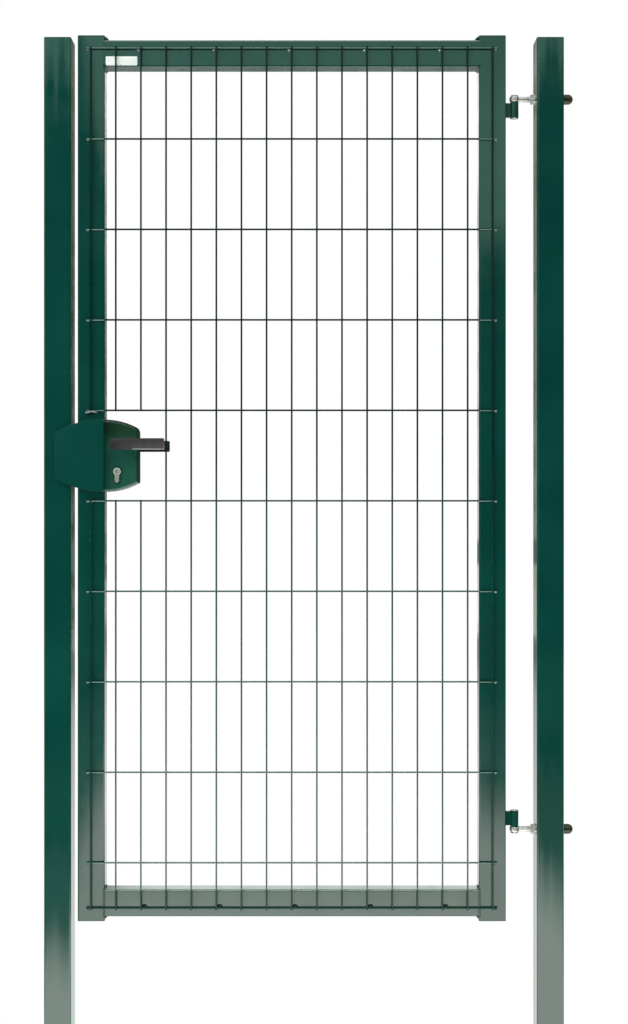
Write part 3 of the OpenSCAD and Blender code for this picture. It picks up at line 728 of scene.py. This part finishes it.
welds = {
    "pitch": 2.6 * mm,
    "voxel": 0.5 * mm,
    "inset": 3.5 * mm,  # from the tubes' fronts and backs
    "upperStep": (8.2 * mm, 2.6 * mm, 2.8 * mm), "upperStepAt": (4.0 * mm, -2.2 * mm, 45),
    "lowerStep": (4.2 * mm, 2.6 * mm, 2.6 * mm), "lowerStepAt": (1.8 * mm, -1.6 * mm, -45),
    "inner": (2.7 * mm, 2.2 * mm, 1.4 * mm), "innerAt": (0.8 * mm, -0.8 * mm, -45),
    "innerLow": (1.9 * mm, 2.2 * mm, 1.2 * mm), "innerLowAt": (0.2 * mm, 0.2 * mm, 45),
    "face": (2.6 * mm, 2.4 * mm, 2.2 * mm),
    "faceAt": (-1.2 * mm, 0.3 * mm, 1 * mm),  # from the joint, into the tube, short of its ends
    "seam": (4.6 * mm, 3.98 * mm),  # width and depth
    "seamAt": (0.3 * mm, 2.0 * mm, 0.1 * mm),  # past the joint, into the tube, short of its ends
    "lug": (2.4 * mm, 2.4 * mm, 2.0 * mm), "lugAt": (4.0 * mm, 3 * mm),  # to each side, short of its ends
}


def makeBead(name, start, end, size, turn):
    along = Vector(end) - Vector(start)
    count = max(2, round(along.length / welds["pitch"]))
    drops = []
    for i in range(count + 1):
        centre = Vector(start) + along * i / count
        drops.append(makeBlob("drop", centre, size, turn))
    piece = joinAll(drops, name)
    modifyNow(piece, "REMESH", mode="VOXEL", voxel_size=welds["voxel"])
    modifyNow(piece, "SMOOTH", factor=0.5, iterations=1)
    return piece


def makeGroundSeam(joint, frontY, low, high):  # the weld that was ground flush with the tubes' fronts
    width, depth = welds["seam"]
    past, sunk, short = welds["seamAt"]
    bpy.ops.mesh.primitive_cube_add(
        size=1, location=(joint - width / 2 + past, frontY + sunk, (low + high) / 2),
        scale=(width, depth, high - low - 2 * short))
    piece = newest("seam")
    fixPlace(piece)
    bevel(piece, 0.5 * mm, 60)
    editAll(piece)
    bpy.ops.mesh.subdivide(number_cuts=6)
    leaveEdit()
    roughen(piece, 9.0 * mm, 0.04 * mm)
    return piece


def makeCornerWelds():
    topLow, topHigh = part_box("top_rail")
    bottomLow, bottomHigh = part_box("bottom_rail")
    joint, frontY, backY = topLow.x, topLow.y, topHigh.y
    middle = (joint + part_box("hinge_stile")[0].x) / 2
    stepUp = (topHigh.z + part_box("latch_stile_top_cap")[1].z) / 2
    inset = welds["inset"]
    corners = {"upperStep": stepUp, "lowerStep": bottomLow.z, "inner": topLow.z, "innerLow": bottomHigh.z}
    beads = []
    for kind, z in corners.items():
        across, rise, turn = welds[kind + "At"]
        start = (joint + across, frontY + inset, z + rise)
        end = (joint + across, backY - inset, z + rise)
        beads.append(makeBead("bead", start, end, welds[kind], math.radians(turn)))
    across, sunk, short = welds["faceAt"]
    x = joint + across
    faces = ((frontY + sunk, bottomLow, bottomHigh), (backY - sunk, bottomLow, bottomHigh),
             (backY - sunk, topLow, topHigh))
    for y, low, high in faces:
        beads.append(makeBead("bead", (x, y, low.z + short), (x, y, high.z - short), welds["face"], 0))
    beads.append(makeGroundSeam(joint, frontY, topLow.z, topHigh.z))
    leftWelds = joinAll(beads, "latch_side_welds")
    smooth(leftWelds, 70)
    rightWelds = mirrored(leftWelds, middle)
    rightWelds.name = "hinge_side_welds"
    smooth(rightWelds, 70)
    for piece in (leftWelds, rightWelds):
        handOver(piece, "leaf", weldPaint)


makeCornerWelds()
print("corner welds ready")


def makeLugWelds():
    pieces = []
    side, short = welds["lugAt"]
    for name in ("upper_hinge_barrel", "lower_hinge_barrel"):
        low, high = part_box(name)
        for y in (-side, side):
            start, end = (low.x, y, low.z + short), (low.x, y, high.z - short)
            pieces.append(makeBead("bead", start, end, welds["lug"], 0))
    piece = joinAll(pieces, "lug_welds")
    smooth(piece, 70)
    handOver(piece, "leaf", platePaint)


makeLugWelds()
print("lug welds ready")


label = {
    "size": (70 * mm, 20 * mm),
    "thickness": 0.15 * mm,
    "corner": 2.2 * mm,
    "rounding": 0.05 * mm,
    "left": 2.5 * mm,
    "low": 3.2 * mm,
}


def makeLabel():
    width, height = label["size"]
    thickness = label["thickness"]
    x = railLow.x + label["left"] + width / 2
    z = railLow.z + label["low"] + height / 2
    bpy.ops.mesh.primitive_cube_add(
        size=1, location=(x, railLow.y - thickness / 2, z), scale=(width, thickness, height))
    piece = newest("bare_label")
    fixPlace(piece)
    pickEdges(piece, lambda first, second: abs(first.y - second.y) > thickness / 2)
    bpy.ops.mesh.bevel(offset=label["corner"], segments=6)
    leaveEdit()
    bevel(piece, label["rounding"], 60)
    smooth(piece, 40)
    handOver(piece, "leaf", labelFilm)


makeLabel()
print("label ready")


thread = {
    "pitch": 1.75 * mm,
    "inside": 5.3 * mm,
    "root": 5.9 * mm,
    "crest": 6.45 * mm,
    "length": 7.2 * mm,
    "steps": 32,
}


def makeThread(name, boltName, nutName):
    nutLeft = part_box(nutName)[0].x
    boltLow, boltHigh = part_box(boltName)
    z = (boltLow.z + boltHigh.z) / 2
    pitch, inside, root = thread["pitch"], thread["inside"], thread["root"]
    turns = math.ceil(thread["length"] / pitch)
    bpy.ops.mesh.primitive_plane_add(size=1, location=(0, 0, 0))
    piece = newest(name)
    corners = ((inside, 0, 0), (root, 0, 0), (inside, 0, pitch), (root, 0, pitch))
    for vertex, place in zip(piece.data.vertices, corners):
        vertex.co = place
    editAll(piece)  # one edge is kept, as the profile
    bpy.ops.mesh.select_mode(type="FACE")
    bpy.ops.mesh.select_all(action="SELECT")
    bpy.ops.mesh.delete(type="ONLY_FACE")
    leaveEdit()
    pickEdges(piece, lambda first, second: min(first.x, second.x) < root - 0.01 * mm)
    bpy.ops.mesh.delete(type="EDGE")
    bpy.ops.mesh.select_all(action="SELECT")
    bpy.ops.mesh.subdivide(number_cuts=3)
    leaveEdit()
    for vertex in piece.data.vertices:
        share = vertex.co.z / pitch
        if 0.1 < share < 0.9:
            vertex.co.x = thread["crest"]
            vertex.co.z = pitch * (0.5 + (share - 0.5) * 0.5)
    modifyNow(piece, "SCREW", angle=math.tau, screw_offset=pitch, iterations=turns,
              steps=thread["steps"], render_steps=thread["steps"], axis="Z", use_merge_vertices=True,
              merge_threshold=0.01 * mm)
    editAll(piece)
    bpy.ops.mesh.remove_doubles(threshold=0.02 * mm)
    start = pitch * 0.9
    for cut, top in ((start, False), (start + thread["length"], True)):
        bpy.ops.mesh.select_all(action="SELECT")
        bpy.ops.mesh.bisect(plane_co=(0, 0, cut), plane_no=(0, 0, 1), use_fill=True,
                            clear_inner=not top, clear_outer=top)
    leaveEdit()
    piece.rotation_euler = (0, math.pi / 2, 0)
    piece.location = (nutLeft - thread["length"] - start + 0.05 * mm, 0, z)
    fixPlace(piece)
    outward(piece)
    smooth(piece, 30)
    handOver(piece, "posts", zinc)


makeThread("upper_thread", "upper_eye_bolt", "upper_hinge_nut")
makeThread("lower_thread", "lower_eye_bolt", "lower_hinge_nut")
print("threads ready")


def makeFlat(name, material, centre, scale, turn=(0, 0, 0)):
    bpy.ops.mesh.primitive_plane_add(size=1, location=centre, rotation=turn)
    flat = newest(name)
    flat.scale = scale
    fixPlace(flat)
    flat.data.materials.append(material)
    return flat


def grey(shelf, level, red=1.0, green=1.0, blue=1.0):
    return shelf.node("ShaderNodeCombineXYZ", {}, {0: level * red, 1: level * green, 2: level * blue})


floorLook = {
    "front": -6.0, "back": 12.0, "side": 8.0, "at": -0.5,
    "middle": (-0.54, 0, 0),
    "lit": (0.55, 0.88),  # the floor turns from lit to plain white between these distances
    "white": 0.25,  # share of white in the lit part
    "behind": (-0.4, 0.4),
    "shades": ((0.78, 0.78, 0.77), (0.82, 0.82, 0.81)), "grain": (3.0, 3.0),
    "dark": (0.05, 0.05, 0.05), "pale": (0.8, 0.8, 0.8),
    "roughness": 0.7, "sheen": 0.2,
    "fade": (8.0, 2.0, 0.78, 1.4),  # distances behind the gate, and the brightness at each
    "horizon": (9.9, 7.5, 0.42, 1.0),
}


def makeFloor():
    material, shelf = newMaterial("pale_floor")
    place = shelf.node("ShaderNodeTexCoord", output=3)
    y = shelf.parted("place")[1]
    distance = shelf.node("ShaderNodeVectorMath", {"operation": "DISTANCE"}, {
        0: place, 1: floorLook["middle"]}, output=1)
    far = shelf.ranged(distance, *floorLook["lit"])
    camera = shelf.node("ShaderNodeLightPath")
    shine = Flow(shelf, shelf.last.outputs["Is Glossy Ray"])
    behind = shelf.ranged(y, *floorLook["behind"])
    colour = shelf.blend(shelf.noise(place, *floorLook["grain"]), *floorLook["shades"])
    dark = shelf.blend(camera, floorLook["dark"], floorLook["pale"])
    lit = shelf.node("ShaderNodeBsdfPrincipled", {}, {
        "Base Color": shelf.blend(behind, dark, colour),
        "Roughness": floorLook["roughness"], "Specular IOR Level": floorLook["sheen"]})
    level = shelf.ranged(y, *floorLook["fade"], smoothly=False)
    level = level * shelf.ranged(y, *floorLook["horizon"], smoothly=False)
    bright = shelf.blend(camera, grey(shelf, level), (1, 1, 1))
    white = shelf.node("ShaderNodeEmission", {}, {"Color": bright, "Strength": 1.0})
    share = camera * shelf.ranged(far, 0.0, 1.0, floorLook["white"], 1.0, smoothly=False) + shine * behind
    mixed = shelf.node("ShaderNodeMixShader", {}, {0: share, 1: lit, 2: white})
    shelf.node("ShaderNodeOutputMaterial", {}, {"Surface": mixed})
    front, back = floorLook["front"], floorLook["back"]
    centre = (floorLook["at"], (back + front) / 2, -0.5 * mm)
    floor = makeFlat("floor", material, centre, (2 * floorLook["side"], back - front, 1))


glow = {
    "near": -0.25, "far": -3.6, "side": 1.5, "at": -0.54, "height": 12 * mm,
    "level": 2.9, "fade": (-2.1, -1.15), "tail": (-3.5, -2.8), "tailShare": 0.07,
    "tint": (1.09, 1.0, 0.93),
}


def makeGlow():  # a low card in front of the gate that lights it from below
    material, shelf = newMaterial("card_light")
    y = shelf.parted("place")[1]
    share = glow["tailShare"]
    level = shelf.ranged(y, *glow["fade"]) * (1 - share) + shelf.ranged(y, *glow["tail"]) * share
    shine = grey(shelf, level * glow["level"], *glow["tint"])
    light = shelf.node("ShaderNodeEmission", {}, {"Color": shine, "Strength": 1.0})
    shelf.node("ShaderNodeOutputMaterial", {}, {"Surface": light})
    near, far = glow["near"], glow["far"]
    centre = (glow["at"], (near + far) / 2, glow["height"])
    card = makeFlat("low_card", material, centre, (2 * glow["side"], near - far, 1))
    card.visible_camera = False
    card.visible_shadow = False


reflected = {  # only seen in the paint: x and z limits, distance, brightness
    "far_band": ((-2.4, 1.4), (1.15, 1.28), 4.0, (0.27, 0.32, 0.30)),
    "far_figure": ((-0.83, -0.66), (1.15, 1.28), 3.98, (0.10, 0.12, 0.11)),
    "far_post": ((-0.50, -0.30), (1.03, 1.12), 3.98, (0.11, 0.12, 0.09)),
}


def makeReflected():
    for name, ((left, right), (low, high), y, colour) in reflected.items():
        material, shelf = newMaterial(name + "_light")
        light = shelf.node("ShaderNodeEmission", {}, {"Color": (*colour, 1), "Strength": 1.0})
        shelf.node("ShaderNodeOutputMaterial", {}, {"Surface": light})
        centre = ((left + right) / 2, y, (low + high) / 2)
        card = makeFlat(name, material, centre, (right - left, high - low, 1), (math.pi / 2, 0, 0))
        card.visible_camera = False
        card.visible_shadow = False
        card.visible_diffuse = False


sky = {  # limits are parts of the direction: x to the right, y away, z up
    "behind": (-0.2, 0.6),
    "tilt": (0.146, 0.164, 0.0, 0.014),
    "ceiling": (0.66, 1.03, 0.80), "ceilingFrom": (0.278, 0.288), "ceilingTo": (0.62, 0.40),
    "overhead": (1.1, 1.1, 1.1), "overheadFrom": (0.45, 0.72),
    "left": (1.2, 1.2, 1.2), "leftFrom": (-0.62, -0.68), "leftTo": (-0.84, -0.78),
    "leftTop": (0.6, 0.35), "leftFoot": (-0.3, -0.1),
    "dark": (0.02, 0.02, 0.02),
    "sheet": 1.1, "sheetSide": (0.149, 0.143), "sheetTop": (0.24, 0.18),
    "window": 1.3, "windowSide": (0.145, 0.125), "windowFoot": (0.205, 0.235), "windowTop": (0.34, 0.30),
    "room": 0.07,
    "roomHeights": ((0.08, 0.30, 0.12), (0.06, -0.06, 0.06), (0.5, 0.9, 0.3)),  # from, to, brightness added
    "wall": 0.08, "wallFrom": (0.05, -0.12), "wallFoot": 0.22, "wallFootFrom": (-0.03, -0.06),
    "warmth": 0.82,
}


def makeWorld():
    world = bpy.data.worlds.new("studio_light")
    bpy.context.scene.world = world
    world.use_nodes = True
    shelf = Shelf(world.node_tree)
    shelf.node("ShaderNodeSeparateXYZ", {}, {0: shelf.node("ShaderNodeTexCoord", output=0)})
    x, y, z = (Flow(shelf, part) for part in shelf.last.outputs)
    edge = z - shelf.ranged(x, *sky["tilt"], smoothly=False)
    ceiling = shelf.ranged(edge, *sky["ceilingFrom"]) * shelf.ranged(z, *sky["ceilingTo"])
    left = shelf.ranged(x, *sky["leftFrom"]) * shelf.ranged(x, *sky["leftTo"])
    left = left * shelf.ranged(z, *sky["leftTop"]) * shelf.ranged(z, *sky["leftFoot"])
    front = shelf.blend(ceiling, sky["dark"], sky["ceiling"])
    front = shelf.blend(left, front, sky["left"])
    front = shelf.blend(shelf.ranged(z, *sky["overheadFrom"]), front, sky["overhead"])
    aside = shelf.size(x / y)
    sheet = shelf.ranged(aside, *sky["sheetSide"]) * shelf.ranged(z, *sky["sheetTop"])
    window = shelf.ranged(aside, *sky["windowSide"]) * shelf.ranged(z, *sky["windowFoot"])
    window = window * shelf.ranged(z, *sky["windowTop"])
    wall = sky["wall"] + shelf.ranged(z, *sky["wallFootFrom"]) * sky["wallFoot"]
    room = sky["room"] + shelf.ranged(x, *sky["wallFrom"]) * wall
    for start, end, level in sky["roomHeights"]:
        room = room + shelf.ranged(z, start, end) * level
    warm = grey(shelf, room, blue=sky["warmth"])
    clear = grey(shelf, sheet * sky["sheet"] + window * sky["window"])
    back = shelf.node("ShaderNodeVectorMath", {"operation": "ADD"}, {0: warm, 1: clear})
    shine = shelf.blend(shelf.ranged(y, *sky["behind"]), front, back)
    light = shelf.node("ShaderNodeBackground", {}, {"Color": shine, "Strength": 1.0})
    white = shelf.node("ShaderNodeBackground", {}, {"Color": (1, 1, 1, 1), "Strength": 1.0})
    seen = shelf.node("ShaderNodeLightPath")
    mixed = shelf.node("ShaderNodeMixShader", {}, {0: seen, 1: light, 2: white})
    shelf.node("ShaderNodeOutputWorld", {}, {"Surface": mixed})


lamps = {  # place, aim, size, power
    "left_softbox": ((-3.6, -2.6, 1.7), (-0.8, 0, 1.3), (3.0, 3.0), 105),
    "top_softbox": ((-0.54, -2.2, 3.3), (-0.54, 0, 2.0), (2.4, 1.2), 22),
    "rear_softbox": ((1.4, 3.2, 2.2), (-0.5, 0, 1.3), (2.4, 2.4), 230),
    "right_softbox": ((3.4, -0.9, 1.0), (-0.4, 0, 1.3), (1.6, 2.0), 45),
}


def makeLamps():
    for name, (place, aim, size, power) in lamps.items():
        bpy.ops.object.light_add(type="AREA", location=place)
        light = newest(name)
        light.data.shape = "RECTANGLE"
        light.data.size, light.data.size_y = size
        light.data.energy = power
        light.visible_camera = False
        light.visible_glossy = False
        light.rotation_euler = (Vector(aim) - Vector(place)).to_track_quat("-Z", "Y").to_euler()


view = {"at": (-0.5218, -3.2270, 1.4523), "lens": 50.97, "sensor": 36.0, "reach": 60}


def makeCamera():
    bpy.ops.object.camera_add(location=view["at"], rotation=(math.pi / 2, 0, 0))
    camera = newest("view_camera")
    camera.data.lens = view["lens"]
    camera.data.sensor_width = view["sensor"]
    camera.data.clip_end = view["reach"]
    bpy.context.scene.camera = camera
    bpy.context.scene.view_settings.view_transform = "Standard"


makeFloor()
makeGlow()
makeReflected()
makeWorld()
makeLamps()
makeCamera()
print("studio ready")
